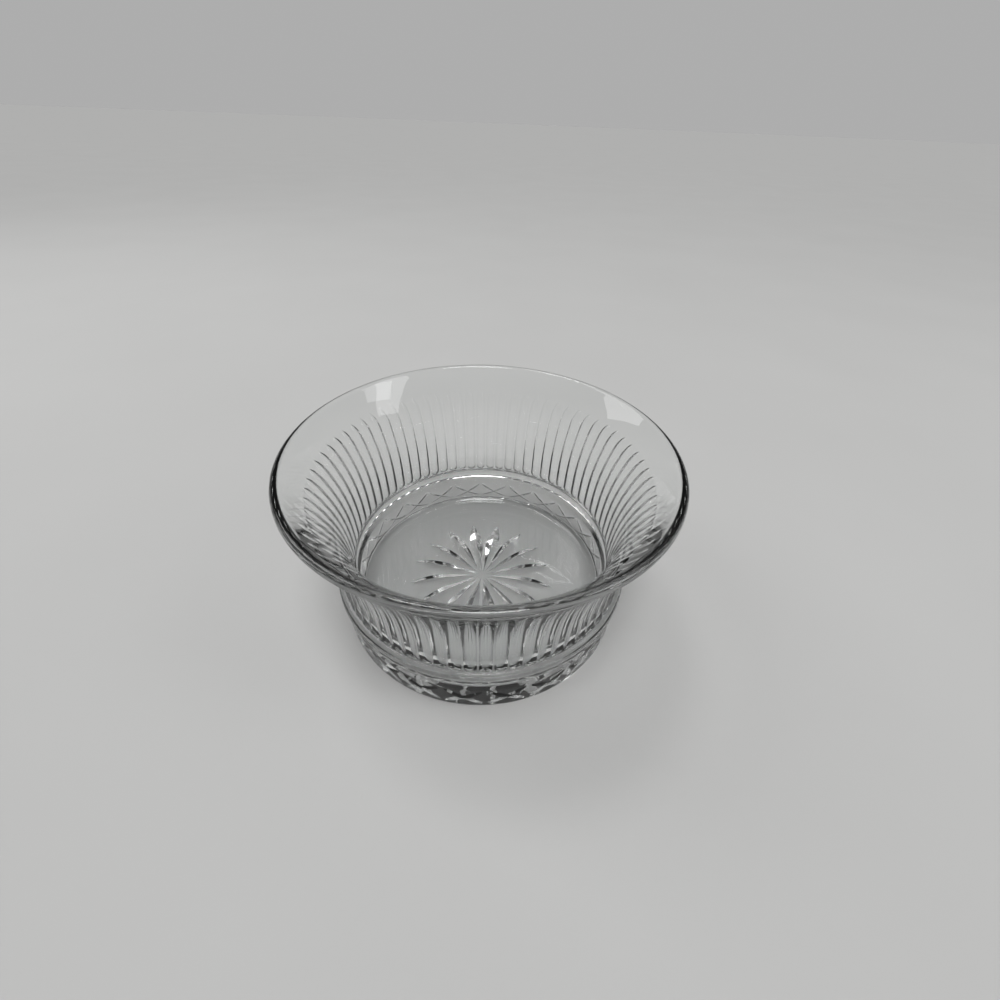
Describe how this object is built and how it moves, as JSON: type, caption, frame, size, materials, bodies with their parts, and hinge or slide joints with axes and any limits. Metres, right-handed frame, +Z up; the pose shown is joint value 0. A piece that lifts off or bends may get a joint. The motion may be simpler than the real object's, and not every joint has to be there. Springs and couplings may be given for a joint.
{
  "type": "bowl",
  "caption": "Clear glass bowl with a flared rim, a fluted wall, a band of crossed cuts above the foot and a star under the base; holds fruit, salad or small things.",
  "frame": {"origin": "centre of the flat base, on the surface the bowl stands on", "axes": "+Z up along the bowl's axis; +X through the middle of one crossed cut, one ridge between flutes and one ray of the star"},
  "size_m": [0.1798, 0.1798, 0.0919],
  "materials": {
    "glass": "clear and colourless, fire-polished inside and at the lip"
  },
  "bodies": {
    "root": {"glass_bowl": "glass"}
  },
  "joints": []
}
